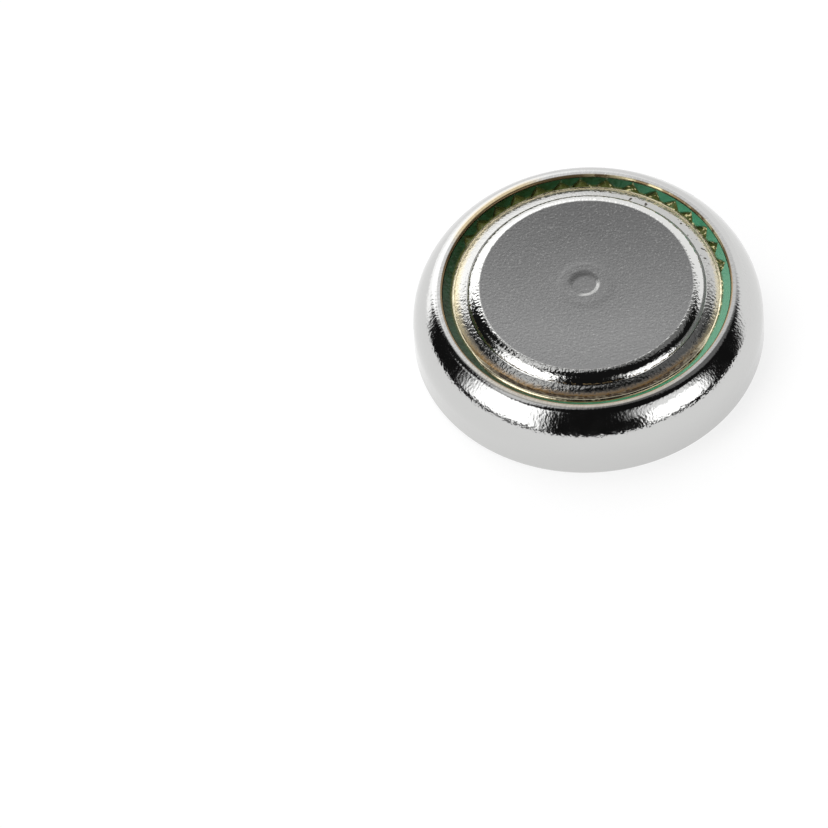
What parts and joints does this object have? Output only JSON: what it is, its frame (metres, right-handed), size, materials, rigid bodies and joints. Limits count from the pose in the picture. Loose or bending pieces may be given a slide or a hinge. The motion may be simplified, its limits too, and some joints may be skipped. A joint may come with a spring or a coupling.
{
  "type": "button cell battery",
  "caption": "Round flat button cell: a steel can with a flat base, curled inward over a green nylon seal and a stepped cap with a matt contact face.",
  "frame": {"origin": "centre of the can's flat base face, the positive contact, which is the lowest face", "axes": "+Z along the cell's axis, from the positive base to the negative cap; +X and +Y are free round the axis, and the gasket's notches start 10 degrees from +X towards +Y"},
  "size_m": [0.0116, 0.0116, 0.0028],
  "materials": {
    "nickel_plated_steel": "bright nickel plate over drawn steel",
    "nickel_clad_steel": "matt contact face with bright pressed edges",
    "green_nylon": "moulded nylon",
    "amber_sealant": "cured amber sealing compound",
    "plain_steel": "plain strip steel",
    "silver_oxide_mix": "pressed powder tablet",
    "barrier_membrane": "clear membrane",
    "nonwoven_pad": "nonwoven felt",
    "zinc_gel": "gelled zinc powder"
  },
  "bodies": {
    "root": {"positive_can": "nickel_plated_steel", "negative_cap": "nickel_clad_steel", "sealing_gasket": "green_nylon", "joint_sealant": "amber_sealant", "cathode_sleeve": "plain_steel", "cathode_pellet": "silver_oxide_mix", "barrier_film": "barrier_membrane", "absorbent_pad": "nonwoven_pad", "anode_gel": "zinc_gel"}
  },
  "joints": []
}
